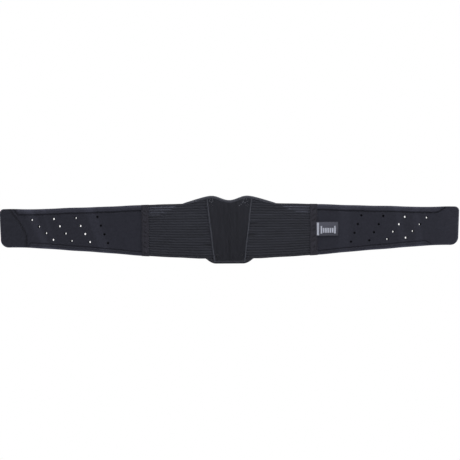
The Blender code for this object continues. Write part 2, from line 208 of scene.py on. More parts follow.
def distance_to(points, x, z):
    """Distance of every grid point from a chain of straight stretches."""
    best = np.full(x.shape, 1e9)
    for (ax, az), (bx, bz) in zip(points[:-1], points[1:]):
        dx, dz = bx - ax, bz - az
        t = np.clip(((x - ax) * dx + (z - az) * dz) / (dx * dx + dz * dz), 0.0, 1.0)
        best = np.minimum(best, np.hypot(x - ax - t * dx, z - az - t * dz))
    return best


def rounding(d, radius):
    """Share of the full thickness that a slab has at distance d from its rounded edge."""
    return np.sqrt(np.clip(1 - (1 - np.clip(d / radius, 0.0, 1.0)) ** 2, 0.0, 1.0))


# ---------------------------------------------------------------- grids and meshes


def steps(length, step, start_r=0.0, end_r=0.0):
    """Shares of a length, about a step apart, closer together where an end is rounded."""
    marks = [start_r * RIM_SHARES] if start_r else [np.zeros(1)]
    span = length - start_r - end_r
    marks.append(start_r + np.linspace(0.0, span, max(int(round(span / step)), 1) + 1))
    marks.append(length - (end_r * RIM_SHARES if end_r else np.zeros(1))[::-1])
    return np.unique(np.round(np.concatenate(marks) / length, 6))


def grid_shares(length, height, step, row_step, rim):
    """Shares along and across a rectangle, as a column and a row."""
    return steps(length, step, rim, rim)[:, None], steps(height, row_step, rim, rim)[None, :]


def rectangle(x0, x1, z0, z1, step, row_step, rim):
    """Grid points over a rectangle, and their distances from its edge."""
    u, v = grid_shares(x1 - x0, z1 - z0, step, row_step, rim)
    x = x0 + (x1 - x0) * u + 0 * v
    z = z0 + (z1 - z0) * v + 0 * u
    d = np.minimum(np.minimum(x - x0, x1 - x), np.minimum(z - z0, z1 - z))
    return x, z, np.maximum(d, 0.0)


def coordinates(obj):
    """A mesh's points, one in each row."""
    co = np.zeros(len(obj.data.vertices) * 3, np.float32)
    obj.data.vertices.foreach_get("co", co)
    return co.reshape(-1, 3)


def keep_rest(obj):
    """Stores each point's place at rest, so that a weave stays put when the cloth bends."""
    places = obj.data.attributes.new("rest", "FLOAT_VECTOR", "POINT")
    places.data.foreach_set("vector", coordinates(obj).ravel())


def keep_tone(obj, tone):
    """Stores a brightness for each point, from a function of distance and height: painted shade and
    light.
    """
    co = coordinates(obj)
    values = np.asarray(tone(np.abs(co[:, 0]), co[:, 2]), np.float32)
    obj.data.attributes.new("tone", "FLOAT", "POINT").data.foreach_set("value", values)


def mesh_piece(name, points, faces, material, sharp):
    """A new object from points and faces, smooth but for edges sharper than an angle."""
    mesh = bpy.data.meshes.new(name)
    mesh.from_pydata(points, [], faces)
    mesh.validate()
    obj = bpy.data.objects.new(name, mesh)
    bpy.context.scene.collection.objects.link(obj)
    mesh.materials.append(material)
    mesh.shade_smooth()
    mesh.set_sharp_from_angle(angle=math.radians(sharp))
    return obj


def sheet(name, x, z, front, back, material, side, solid=None, sharp=45):
    """A closed slab over a grid in XZ, between two depths. Cells that aren't solid are open windows."""
    nu, nv = x.shape
    if solid is None:
        solid = np.ones((nu - 1, nv - 1), bool)
    near = np.stack([side * x, np.broadcast_to(front, x.shape), z], 2).reshape(-1, 3)
    far = np.stack([side * x, np.broadcast_to(back, x.shape), z], 2).reshape(-1, 3)
    f = np.arange(nu * nv).reshape(nu, nv)
    closed = (np.abs(near - far).max(1) < 1e-6).reshape(nu, nv)
    b = np.where(closed, f, f + nu * nv)
    i, j = np.nonzero(solid)
    faces = [np.stack([f[i, j], f[i + 1, j], f[i + 1, j + 1], f[i, j + 1]], 1)]
    faces.append(np.stack([b[i, j], b[i, j + 1], b[i + 1, j + 1], b[i + 1, j]], 1))
    # A wall stands on each side of a solid cell that has no solid cell beyond it.
    pad = np.pad(solid, 1)
    for beyond, (ai, aj), (bi, bj) in (
        (pad[1:-1, :-2], (0, 0), (1, 0)),
        (pad[1:-1, 2:], (1, 1), (0, 1)),
        (pad[:-2, 1:-1], (0, 1), (0, 0)),
        (pad[2:, 1:-1], (1, 0), (1, 1)),
    ):
        i, j = np.nonzero(solid & ~beyond)
        p, q = (i + ai, j + aj), (i + bi, j + bj)
        faces.append(np.stack([f[p], b[p], b[q], f[q]], 1))
    faces = np.concatenate(faces)
    if side < 0:
        faces = faces[:, ::-1]
    used, faces = np.unique(faces, return_inverse=True)
    points = np.concatenate([near, far])[used]
    clean = []
    for face in faces.reshape(-1, 4).tolist():
        kept = [v for k, v in enumerate(face) if v != face[k - 1]]
        if len(set(kept)) == len(kept) and len(kept) > 2:
            clean.append(kept)
    return mesh_piece(name, points.tolist(), clean, material, sharp)


def slab(name, x, z, front, back, d, radius, material, side=1, **more):
    """A sheet whose edges are rounded over a radius, given each point's distance from its edge."""
    middle = (front + back) / 2
    full = rounding(d, radius)
    near = middle + (front - middle) * full
    far = middle + (back - middle) * full
    return sheet(name, x, z, near, far, material, side, **more)


def swept(name, points, counts, sides, material, sharp):
    """A closed skin over rings of points, in chains with a count of rings each."""
    faces, first = [], 0
    for count in counts:
        for k in range(count - 1):
            for s in range(sides):
                a = first + k * sides + s
                c = first + k * sides + (s + 1) % sides
                faces.append([a, c, c + sides, a + sides])
        faces.append([first + s for s in range(sides)][::-1])
        first += count * sides
        faces.append([first - sides + s for s in range(sides)])
    obj = mesh_piece(name, points, faces, material, sharp)
    recalculate(obj)
    return obj


def recalculate(obj):
    """Turns every face of a closed mesh outwards."""
    work = bmesh.new()
    work.from_mesh(obj.data)
    bmesh.ops.recalc_face_normals(work, faces=work.faces)
    work.to_mesh(obj.data)
    work.free()


def tubes(name, chains, radius, material, sides, flat=1.0):
    """Round or flattened cords, one for each chain of points, with closed ends."""
    points = []
    for chain in chains:
        chain = np.asarray(chain, float)
        along = np.gradient(chain, axis=0)
        along /= np.linalg.norm(along, axis=1)[:, None]
        out = np.tile([0.0, -1.0, 0.0], (len(chain), 1))
        out -= (out * along).sum(1)[:, None] * along
        out /= np.linalg.norm(out, axis=1)[:, None]
        across = np.cross(along, out)
        for k in range(len(chain)):
            for s in range(sides):
                turn = 2 * math.pi * s / sides
                reach = out[k] * math.cos(turn) * flat + across[k] * math.sin(turn)
                points.append((chain[k] + radius * reach).tolist())
    return swept(name, points, [len(chain) for chain in chains], sides, material, 80)


def stitch_chains(path, pitch, length, lift):
    """Short arched stitches along a path."""
    path = np.asarray(path, float)
    run = np.concatenate([[0.0], np.cumsum(np.linalg.norm(np.diff(path, axis=0), axis=1))])
    chains = []
    for start in np.arange(pitch / 2, run[-1] - length, pitch):
        at = start + length * np.array([0.0, 0.15, 0.5, 0.85, 1.0])
        chain = np.stack([np.interp(at, run, path[:, k]) for k in range(3)], 1)
        chain[:, 1] += lift * np.array([0.9, 0.2, 0.0, 0.2, 0.9])
        chains.append(chain)
    return chains


def stitches(name, paths, material, pitch, length, radius=0.32 * MM):
    """Rows of stitches, one along each path."""
    chains = []
    for path in paths:
        chains.extend(stitch_chains(path, pitch, length, 0.35 * MM))
    return tubes(name, chains, radius, material, 5)


def evaluate(obj):
    """Applies an object's modifiers to its mesh."""
    depsgraph = bpy.context.evaluated_depsgraph_get()
    mesh = bpy.data.meshes.new_from_object(obj.evaluated_get(depsgraph), depsgraph=depsgraph)
    obj.modifiers.clear()
    obj.data = mesh


def punch(obj, centres, side, wall):
    """Cuts round holes through a piece. Their walls take a second material."""
    if not centres:
        return
    cutters = bmesh.new()
    for x, z in centres:
        made = bmesh.ops.create_cone(
            cutters, segments=28, radius1=HOLE_R, radius2=HOLE_R, depth=40 * MM, cap_ends=True
        )
        for v in made["verts"]:
            v.co = Vector((side * x + v.co.x, v.co.z, z - v.co.y))
    bmesh.ops.recalc_face_normals(cutters, faces=cutters.faces)
    mesh = bpy.data.meshes.new("cutters")
    cutters.to_mesh(mesh)
    cutters.free()
    for material in (obj.data.materials[0], wall):
        mesh.materials.append(material)
    mesh.polygons.foreach_set("material_index", [1] * len(mesh.polygons))
    obj.data.materials.append(wall)
    cutter = bpy.data.objects.new("cutters", mesh)
    bpy.context.scene.collection.objects.link(cutter)
    cut = obj.modifiers.new("holes", "BOOLEAN")
    cut.operation = "DIFFERENCE"
    cut.solver = "EXACT"
    cut.object = cutter
    evaluate(obj)
    bpy.data.objects.remove(cutter)
    obj.data.shade_smooth()
    obj.data.set_sharp_from_angle(angle=math.radians(40))


def hole_centres(x0, x1, columns=4, drift=0.0):
    """Perforations in the outer columns, between two distances.

    The drift is how far, at most, a layer's holes have crept inwards from those of the cover.
    """
    (ax, az), (bx, bz), (cx, cz), (dx, dz) = FIELD
    centres = []
    for i in range(4 - columns, 4):
        for j in range(4):
            u, v = i / 3, j / 3
            x = (ax + (bx - ax) * u) * (1 - v) + (cx + (dx - cx) * u) * v
            z = (az + (bz - az) * u) * (1 - v) + (cz + (dz - cz) * u) * v
            creep = drift * (0.5 + 0.4 * math.sin(2.1 * i + 1.3 * j))
            if x0 < x * MM < x1:
                centres.append((x * MM - creep, z * MM))
    return centres


def stand_in(piece, slot, *nodes):
    """Lets a piece stand for CAD parts by hiding them; the slot is not used."""
    if nodes:
        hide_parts(*nodes)


def ride(zone, name, side, *pieces):
    """Keeps pieces' places at rest for the weave, and bakes their transforms; the zone, name and side
    are not used.
    """
    for piece in pieces:
        keep_rest(piece)
        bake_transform(piece)


# ---------------------------------------------------------------- materials


class Nodes:
    """Short calls for building one material's node tree."""

    def __init__(self, name, colour, roughness, sheen=0.0, level=0.5):
        """The level is the strength of the mirror-like part, 0.5 being usual."""
        self.material = bpy.data.materials.new(name)
        self.material.use_nodes = True
        self.tree = self.material.node_tree
        self.shader = self.tree.nodes["Principled BSDF"]
        self.material.diffuse_color = (*colour, 1.0)
        self.colour = colour
        for socket, value in (
            ("Roughness", roughness),
            ("Sheen Weight", sheen),
            ("Sheen Roughness", 0.5),
            ("Sheen Tint", (0.6, 0.63, 0.75, 1.0)),
            ("Specular IOR Level", level),
        ):
            self.shader.inputs[socket].default_value = value
        self.rest = self.attribute("rest").outputs["Vector"]
        split = self.add("ShaderNodeSeparateXYZ")
        self.link(self.rest, split.inputs[0])
        self.x, _, self.z = split.outputs

    def add(self, kind):
        return self.tree.nodes.new(kind)

    def link(self, a, b):
        self.tree.links.new(a, b)

    def put(self, value, socket):
        if hasattr(value, "links"):
            self.link(value, socket)
        else:
            socket.default_value = value

    def attribute(self, name):
        node = self.add("ShaderNodeAttribute")
        node.attribute_name = name
        return node

    def tone(self):
        """The brightness stored for each point: painted shade and light."""
        return self.attribute("tone").outputs["Fac"]

    def maths(self, operation, a, b=0.0, c=0.0):
        node = self.add("ShaderNodeMath")
        node.operation = operation
        for value, socket in zip((a, b, c), node.inputs):
            self.put(value, socket)
        return node.outputs[0]

    def mul(self, a, b):
        return self.maths("MULTIPLY", a, b)

    def plus(self, a, b):
        return self.maths("ADD", a, b)

    def noise(self, size, detail, stretch=(1.0, 1.0, 1.0)):
        """Soft noise, about 0 to 1, whose grains are about a size wide."""
        place = self.add("ShaderNodeVectorMath")
        place.operation = "MULTIPLY"
        self.link(self.rest, place.inputs[0])
        place.inputs[1].default_value = stretch
        node = self.add("ShaderNodeTexNoise")
        self.link(place.outputs[0], node.inputs["Vector"])
        node.inputs["Scale"].default_value = 1.0 / size
        node.inputs["Detail"].default_value = detail
        return node.outputs["Fac"]

    def wave(self, along, pitch, phase=0.0):
        """A sine between 0 and 1 of a coordinate, with a pitch."""
        turn = self.maths("MULTIPLY_ADD", along, 2 * math.pi / pitch, phase)
        return self.maths("MULTIPLY_ADD", self.maths("SINE", turn), 0.5, 0.5)

    def between(self, value, low, high, to_low, to_high):
        """A value carried from one range over to another, and held at its ends."""
        node = self.add("ShaderNodeMapRange")
        self.link(value, node.inputs["Value"])
        for socket, number in zip(node.inputs[1:5], (low, high, to_low, to_high)):
            socket.default_value = number
        return node.outputs[0]

    def vary(self, size, detail, low, high, stretch=(1.0, 1.0, 1.0)):
        """A value that drifts between two numbers, in patches about a size wide."""
        return self.between(self.noise(size, detail, stretch), 0.3, 0.7, low, high)

    def bump(self, height, depth):
        node = self.add("ShaderNodeBump")
        node.inputs["Distance"].default_value = depth
        self.link(height, node.inputs["Height"])
        self.link(node.outputs[0], self.shader.inputs["Normal"])

    def rough_bump(self, pattern, size, detail, share, depth):
        """Bump from a pattern with a share of fine noise."""
        self.bump(self.plus(pattern, self.mul(self.noise(size, detail), share)), depth)

    def tint(self, *brightness):
        """Base colour, times one or more values that vary over the surface."""
        total = brightness[0]
        for value in brightness[1:]:
            total = self.mul(total, value)
        node = self.add("ShaderNodeVectorMath")
        node.operation = "SCALE"
        node.inputs[0].default_value = self.colour
        self.put(total, node.inputs["Scale"])
        self.link(node.outputs[0], self.shader.inputs["Base Color"])

    def rough(self, value):
        self.put(value, self.shader.inputs["Roughness"])


def sheen_band(m, centre, lean, width):
    """A soft slanted band of painted sheen, where the wing has been bent."""
    off = m.plus(m.maths("MULTIPLY_ADD", m.z, -lean, m.x), -centre)
    t = m.maths("DIVIDE", off, width)
    square = m.mul(t, t)
    return m.maths("EXPONENT", m.mul(m.mul(square, square), -1.0))


def wing_cover_material():
    """Brushed loop knit on moulded foam, with bands of painted sheen where it has been bent."""
    m = Nodes("wing_cover", (0.0298, 0.0306, 0.0405), 0.88, 0.10, 0.25)
    painted_sheen = 1.0
    for centre, lean, width, gain in SHEEN_BANDS:
        painted_sheen = m.plus(m.mul(sheen_band(m, centre, lean, width), gain), painted_sheen)
    # The bands are painted sheen, and the stored brightness is painted shade and light.
    m.tint(m.vary(7 * MM, 3.0, 0.93, 1.08), m.vary(0.9 * MM, 2.0, 0.86, 1.16), m.tone(), painted_sheen)
    m.rough(m.vary(4 * MM, 2.0, 0.8, 0.95))
    knit = m.mul(m.wave(m.z, 1.1 * MM), m.wave(m.x, 1.3 * MM))
    m.rough_bump(m.mul(knit, 0.35), 0.7 * MM, 3.0, 0.8, 0.25 * MM)
    return m.material


def foam_material():
    """Cut foam inside the perforations."""
    m = Nodes("foam", (0.007, 0.007, 0.009), 0.95, 0.0, 0.1)
    m.tint(m.vary(0.6 * MM, 1.0, 0.6, 1.4))
    return m.material


def lining_material():
    """Soft body-side lining, a fine diamond knit."""
    m = Nodes("lining", (0.021, 0.022, 0.027), 0.9, 0.12, 0.25)
    up = m.wave(m.plus(m.x, m.z), 2.6 * MM)
    down = m.wave(m.plus(m.x, m.mul(m.z, -1.0)), 2.6 * MM)
    diamonds = m.maths("MAXIMUM", up, down)
    m.tint(m.between(diamonds, 0.4, 1.0, 0.8, 1.15), m.vary(9 * MM, 3.0, 0.92, 1.08))
    m.rough_bump(diamonds, 0.6 * MM, 2.0, 0.6, 0.3 * MM)
    return m.material


def pad_material():
    """Spacer mesh of the body-side pad: small round cells in staggered rows."""
    m = Nodes("pad_mesh", (0.022, 0.0225, 0.027), 0.85, 0.15, 0.3)
    pitch = 2.4 * MM
    cells = m.mul(m.wave(m.x, pitch), m.wave(m.z, pitch))
    staggered = m.mul(m.wave(m.x, pitch, math.pi), m.wave(m.z, pitch, math.pi))
    pits = m.between(m.maths("MAXIMUM", cells, staggered), 0.45, 0.8, 1.0, 0.45)
    m.tint(pits, m.vary(11 * MM, 3.0, 0.92, 1.08))
    m.rough_bump(pits, 0.5 * MM, 2.0, 0.25, 0.5 * MM)
    return m.material


def mesh_material():
    """Yarn of the ribbed spacer mesh on the back panel."""
    m = Nodes("centre_mesh", (0.0248, 0.0256, 0.0312), 0.8, 0.10, 0.3)
    ribs = m.between(m.wave(m.x, MESH_RIB), 0.0, 1.0, 0.9, 1.1)
    streak = m.vary(5 * MM, 2.0, 0.88, 1.12, (1.0, 1.0, 0.06))
    # Painted light: paler towards the top, as lit from above.
    m.tint(ribs, streak, m.between(m.z, -0.08, 0.08, 0.9, 1.1))
    m.bump(m.noise(0.4 * MM, 2.0), 0.25 * MM)
    return m.material


def elastic_material():
    """Covered rubber ribs: fine upright thread turns, a little shine, painted shade in the channels and
    painted light through the ladder and from above.
    """
    m = Nodes("elastic", (0.0298, 0.0312, 0.0392), 0.66, 0.10, 0.35)
    # Dashes along the channels: painted shade at the ladder's openings, and painted light through them
    # where the stored brightness is raised.
    dashes = m.between(m.wave(m.x, 2.9 * MM), 0.2, 0.8, 0.25, 0.85)
    ladder_light_and_shade = m.plus(m.mul(m.tone(), m.plus(m.mul(dashes, -1.0), 1.0)), dashes)
    flecks = m.between(m.noise(1.7 * MM, 1.0), 0.60, 0.72, 1.0, 1.45)
    threads = m.wave(m.x, 0.8 * MM)
    streak = m.vary(16 * MM, 2.0, 0.85, 1.18, (0.25, 1.0, 2.5))
    # Painted light: paler towards the top, as lit from above.
    height = m.between(m.z, -0.07, 0.07, 0.94, 1.07)
    m.tint(m.between(threads, 0.0, 1.0, 0.9, 1.08), streak, height, ladder_light_and_shade, flecks)
    m.rough_bump(threads, 0.5 * MM, 2.0, 0.8, 0.15 * MM)
    return m.material


def tape_material(name, colour, pitch, along, shine=0.4):
    """Woven tape with fine ribs across it."""
    m = Nodes(name, colour, 0.6, 0.15, shine)
    ribs = m.wave(m.x if along == "x" else m.z, pitch)
    twill = m.wave(m.plus(m.x, m.z), 1.7 * MM)
    wear = m.between(m.noise(6 * MM, 3.0), 0.3, 0.75, 0.88, 1.14)
    m.tint(m.between(m.mul(ribs, twill), 0.0, 1.0, 0.9, 1.12), wear)
    m.bump(m.plus(ribs, m.mul(twill, 0.6)), 0.18 * MM)
    m.rough(m.between(wear, 0.88, 1.14, 0.7, 0.5))
    return m.material


def grip_material():
    """Closing patch: a fine grid of raised points."""
    m = Nodes("grip_patch", (0.0305, 0.0318, 0.0420), 0.82, 0.08, 0.25)
    points = m.mul(m.wave(m.x, 3.1 * MM), m.wave(m.z, 3.1 * MM))
    m.tint(m.between(points, 0.1, 0.9, 0.78, 1.45), m.tone(), m.vary(8 * MM, 3.0, 0.92, 1.08))
    m.rough_bump(points, 0.5 * MM, 2.0, 0.4, 0.35 * MM)
    return m.material


def plastic_material(name, colour, roughness):
    """Moulded plastic or rubber with a faint grain."""
    m = Nodes(name, colour, roughness)
    m.tint(m.vary(5 * MM, 3.0, 0.94, 1.06))
    m.rough(m.vary(3 * MM, 3.0, roughness * 0.85, roughness * 1.15))
    m.bump(m.noise(0.4 * MM, 2.0), 0.05 * MM)
    return m.material


def badge_material():
    """Blank rubber label, paler towards its top and its inner end: a painted gloss reflection."""
    m = Nodes("badge", (0.088, 0.090, 0.110), 0.42)
    # Painted reflection: paler towards the top and the inner end.
    up = m.between(m.z, -0.016, 0.019, 0.72, 1.30)
    inwards = m.between(m.x, 0.216, 0.272, 1.12, 0.92)
    m.tint(up, inwards, m.vary(3 * MM, 2.0, 0.96, 1.04))
    m.bump(m.noise(0.5 * MM, 2.0), 0.05 * MM)
    return m.material


COVER = wing_cover_material()
FOAM = foam_material()
LINING = lining_material()
PAD = pad_material()
MESH = mesh_material()
ELASTIC = elastic_material()
STRIP = tape_material("seam_strip", (0.0350, 0.0332, 0.0430), 1.0 * MM, "z", 0.3)
# Edge tape: its own grey, made paler with painted sheen where its rolled top catches the light.
TAPE = tape_material("edge_tape", (0.0800, 0.0830, 0.1000), 0.9 * MM, "x")
BACK_TAPE = tape_material("back_tape", (0.0290, 0.0295, 0.0360), 1.0 * MM, "z", 0.3)
PIPING = tape_material("piping", (0.0720, 0.0760, 0.0900), 0.8 * MM, "z")
GRIP = grip_material()
HOOK = plastic_material("hook_pad", (0.014, 0.014, 0.016), 0.45)
BADGE = badge_material()
SILVER = plastic_material("badge_bar", (0.62, 0.64, 0.70), 0.35)
THREAD = tape_material("thread", (0.0400, 0.0410, 0.0480), 0.5 * MM, "x")
DARK_THREAD = tape_material("dark_thread", (0.0120, 0.0108, 0.0150), 0.5 * MM, "x")
# Painted light: pale flecks where light shows through the mesh.
LIGHT_FLECK = tape_material("painted_light_fleck", (0.30, 0.31, 0.34), 0.5 * MM, "x")
STAY = plastic_material("stay", (0.72, 0.73, 0.74), 0.4)


# ---------------------------------------------------------------- wings


def top_crease(x, side):
    """Height of the pressed line below the wing's top roll. It turns up to the edge near the end."""
    turn, length = (526 * MM, 17 * MM) if side < 0 else (514 * MM, 42 * MM)
    return belt_top(x) - 14.5 * MM + 19 * MM * ramp((x - turn) / length)


def bottom_crease(x, side):
    """The same above the bottom roll. It turns down to the edge."""
    turn, length = (494 * MM, 14 * MM) if side < 0 else (485 * MM, 30 * MM)
    drop = 17 * MM * ramp((x - turn) / length)
    return belt_bottom(x) + 9.8 * MM + 0.010 * (x - 218 * MM) - drop


def beside_creases(x, z, side):
    """How far a point lies above the top crease and below the bottom one, square to them."""
    step = 1 * MM
    slope = (top_crease(x + step, side) - top_crease(x - step, side)) / (2 * step)
    above = (z - top_crease(x, side)) / np.hypot(1.0, slope)
    slope = (bottom_crease(x + step, side) - bottom_crease(x - step, side)) / (2 * step)
    below = (bottom_crease(x, side) - z) / np.hypot(1.0, slope)
    return above, below


def rim_light(x, z):
    """Added brightness along the bottom edge and the end: painted rim light, standing for the light that
    the white surroundings throw on the rounded rim.
    """
    inside = np.minimum(z - belt_bottom(x), wing_end_line(z) - x)
    # Painted rim light along the rounded rim.
    return 1.25 * (1 - rise(inside, 0, 5.5))


def wing_tone(side):
    """Brightness of a wing's cover: painted shade in the creases, in the stitched lines' grooves and
    beside the closing patch, painted light on the rolls, and painted rim light.
    """

    def tone(x, z):
        above, below = beside_creases(x, z, side)
        # Painted light: the rolls are paler, as the light falls on them from above.
        value = 1.0 + 0.50 * rise(above, 1, 3) + 0.10 * rise(below, 0, 3)
        value = value + 0.75 * rise(above, 5, 8)
        value = value + 0.35 * rise(below, 6, 4)
        # Painted shade in the creases and in the grooves of the stitched lines.
        value = value - 0.38 * ridge(above, 0, 1.8) - 0.34 * ridge(below, 0, 1.5)
        for (at, width), dark in zip(TOP_LINES, (0.30, 0.26)):
            value = value - dark * bell((above - at) / width)
        value = value - 0.24 * bell((below - BOTTOM_LINE) / (1.0 * MM))
        # Painted shade beside the closing patch's raised edge.
        if side < 0:
            value = value - 0.25 * bell((x - patch_line(z) + 0.6 * MM) / (1.1 * MM))
        return value + rim_light(x, z)

    return tone


def wing_relief(x, z, side):
    """Outer face of a wing: soft rolls along both edges, a crease beside each, and a slack field."""
    above, below = beside_creases(x, z, side)
    roll = 1.5 * rise(above, 0, 4.5) + 1.2 * rise(below, 0, 3.5)
    groove = 1.7 * ridge(above, 0, 1.6) + 1.4 * ridge(below, 0, 1.3)
    for (at, width), deep in zip(TOP_LINES, (0.30, 0.22)):
        groove = groove + deep * bell((above - at) / width)
    groove = groove + 0.26 * bell((below - BOTTOM_LINE) / (0.9 * MM))
    slack = 0.30 * np.sin(x / (23 * MM) + z / (70 * MM)) * np.sin(x / (61 * MM) - z / (45 * MM))
    slack = slack + 0.10 * np.sin(x / (7.3 * MM) + 2.0 * np.sin(z / (19 * MM)))
    field = 1 - rise(above, 0, 3) - rise(below, 0, 3)
    crown = 0.5 * ridge(z, 2, 30)
    height = roll - groove + (slack + crown) * field
    for hx, hz in hole_centres(0.0, 1.0):
        height = height - 0.55 * bell(np.hypot(x - hx, z - hz) / (3.6 * MM))
    return WING_FACE - height * MM


def wing_heights(low, high, fine, row_step):
    """Rows of heights that keep to both edges near them, so that creases run along a row."""
    depth = 20 * MM
    offsets = np.concatenate([fine * RIM_SHARES, np.arange(fine, depth - 0.4 * MM, row_step)])
    middle = low[..., None] + depth
    middle = middle + (high - low - 2 * depth)[..., None] * np.linspace(0.0, 1.0, 27)
    return np.concatenate([low[..., None] + offsets, middle, high[..., None] - offsets[::-1]], -1)


def wing_grid(x0, x1, step, row_step, inset, fine):
    """Grid points over a length of wing, and their distances from its free edges.

    A length without an outer end stops at the wing's own rounded one.
    """
    low, high = np.array(belt_bottom(END_X) + inset), np.array(belt_top(END_X) - inset)
    rows = wing_heights(low, high, fine, row_step)
    if x1:
        reach = np.full(len(rows), x1)
        u = steps(x1 - x0, step)[:, None]
    else:
        reach = wing_end_line(rows) - inset
        u = steps(END_X - x0, step, 0.0, fine)[:, None]
    x = x0 + (reach - x0) * u
    z = np.zeros_like(x)
    for k, column in enumerate(x.T):
        low, high = belt_bottom(column) + inset, belt_top(column) - inset
        z[:, k] = wing_heights(low, high, fine, row_step)[:, k]
    along = np.linspace(x0 - 0.05, END_X + 0.05, 80)
    d = distance_to([(a, belt_top(a) - inset) for a in along], x, z)
    d = np.minimum(d, distance_to([(a, belt_bottom(a) + inset) for a in along], x, z))
    if not x1:
        d = np.minimum(d, distance_to(list(zip(x[-1], z[-1])), x, z))
        d[-1, :] = 0.0
    d[:, 0] = 0.0
    d[:, -1] = 0.0
    return x, z, d


def wing_length(name, side, label, x0, x1, zone, nodes, lining_nodes=()):
    """One length of wing: padded cover and lining, both perforated."""
    last = x1 or END_X
    x, z, d = wing_grid(x0, x1, step=2.3 * MM, row_step=0.95 * MM, inset=0.0, fine=COVER_ROUND)
    shape = (x, z, wing_relief(x, z, side), WING_BACK, d, COVER_ROUND)
    cover = slab(f"{name}_wing_cover_{label}", *shape, COVER, side, sharp=60)
    punch(cover, hole_centres(x0, last), side, FOAM)
    keep_tone(cover, wing_tone(side))
    stand_in(cover, "wing_cover", *nodes)
    x, z, d = wing_grid(x0, x1, step=3.4 * MM, row_step=3.2 * MM, inset=2.6 * MM, fine=LINING_ROUND)
    puff = 0.35 * MM * rise(d, 0, 14) - 0.45 * MM * ridge(d, 5, 1.1)
    shape = (x, z, WING_BACK + 0.05 * MM, puff - 0.1 * MM, d, LINING_ROUND)
    lining = slab(f"{name}_wing_lining_{label}", *shape, LINING, side, sharp=60)
    punch(lining, hole_centres(x0, last, OPEN_COLUMNS[name], 2.3 * MM), side, FOAM)
    stand_in(lining, "lining", *lining_nodes)
    ride(zone, name, side, cover, lining)


def wings():
    """Each wing in a length at the hip and one in front; the end of the left one is a third length."""
    for name, side in SIDES:
        for label, part, x0, x1, zone in (
            ("hip", "inner", SEAM_X - 3 * MM, WING_SPLIT, "seam"),
            ("front", "outer", WING_SPLIT, TAB_SPLIT if side < 0 else None, "bend"),
        ):
            nodes = (f"{name}_wing_cover_{part}", f"{name}_wing_foam_{part}")
            wing_length(name, side, label, x0, x1, zone, nodes, [f"{name}_wing_lining_{part}"])
    wing_length("left", -1, "tab", TAB_SPLIT, None, "tab", ["left_tab_web"])


# ---------------------------------------------------------------- closing tab


def patch_line(z):
    """Distance of the closing patch's curved inner side at height z."""
    top = belt_top(PATCH_TOP_X)
    up = np.clip((z - PATCH_TURN_Z) / (top - PATCH_TURN_Z), 0.0, 1.2)
    down = np.clip((PATCH_TURN_Z - z) / (28 * MM), 0.0, 1.0)
    return PATCH_X + (PATCH_TOP_X - PATCH_X) * up**1.5 + 2 * MM * down * down


def closing_patch():
    """D-shaped patch over the end of the left wing, with the stitching round it."""
    length, height = 60 * MM, 100 * MM
    u = steps(length, 1.6 * MM, 1.2 * MM, COVER_ROUND)[:, None]
    v = steps(height, 1.6 * MM, COVER_ROUND, COVER_ROUND)[None, :]
    inset = 0.4 * MM
    low, high = belt_bottom(540 * MM), belt_top(540 * MM)
    nominal = low + v * (high - low)
    start = patch_line(nominal)
    x = start + (wing_end_line(nominal) - inset - start) * u
    z = belt_bottom(x) + inset + (belt_top(x) - belt_bottom(x) - 2 * inset) * v
    rim = [(x[0, 0], z[0, 0]), *zip(x[-1], z[-1]), (x[0, -1], z[0, -1])]
    d = distance_to(rim, x, z)
    d[:, 0] = d[:, -1] = d[-1, :] = 0.0
    inner = distance_to(list(zip(x[0], z[0])), x, z)
    middle = (WING_FACE + WING_BACK) / 2
    face = middle + (wing_relief(x, z, -1) - middle) * rounding(d, COVER_ROUND)
    lift = 0.7 * MM * rounding(inner + 0.05 * MM, 1.6 * MM) * rounding(d + 0.6 * MM, 3 * MM)
    press = 0.35 * MM * ridge(inner, 3.2, 0.8)
    near, far = face - lift + press, face + 0.15 * MM
    patch = sheet("left_closing_patch", x, z, near, far, GRIP, -1, sharp=70)
    stand_in(patch, "grip_patch", "left_tab_grip")

    def tone(px, pz):
        # Painted shade along the patch's raised edge and along its pressed stitch line, and painted rim
        # light.
        off = px - patch_line(pz)
        seam = 0.75 * ridge(off, 0.5, 1.3) + 0.35 * ridge(off, 4.5, 0.8)
        return 1 - seam + rim_light(px, pz)

    keep_tone(patch, tone)
    path = []
    for pz in np.linspace(low + 6 * MM, high - 6 * MM, 40):
        px = patch_line(pz) + 3.4 * MM
        path.append((-px, wing_relief(px, pz, -1) - 0.75 * MM, pz))
    seam = stitches("left_patch_stitching", [path], DARK_THREAD, 2.8 * MM, 2.3 * MM, 0.34 * MM)
    ride("tab", "left", -1, patch, seam)


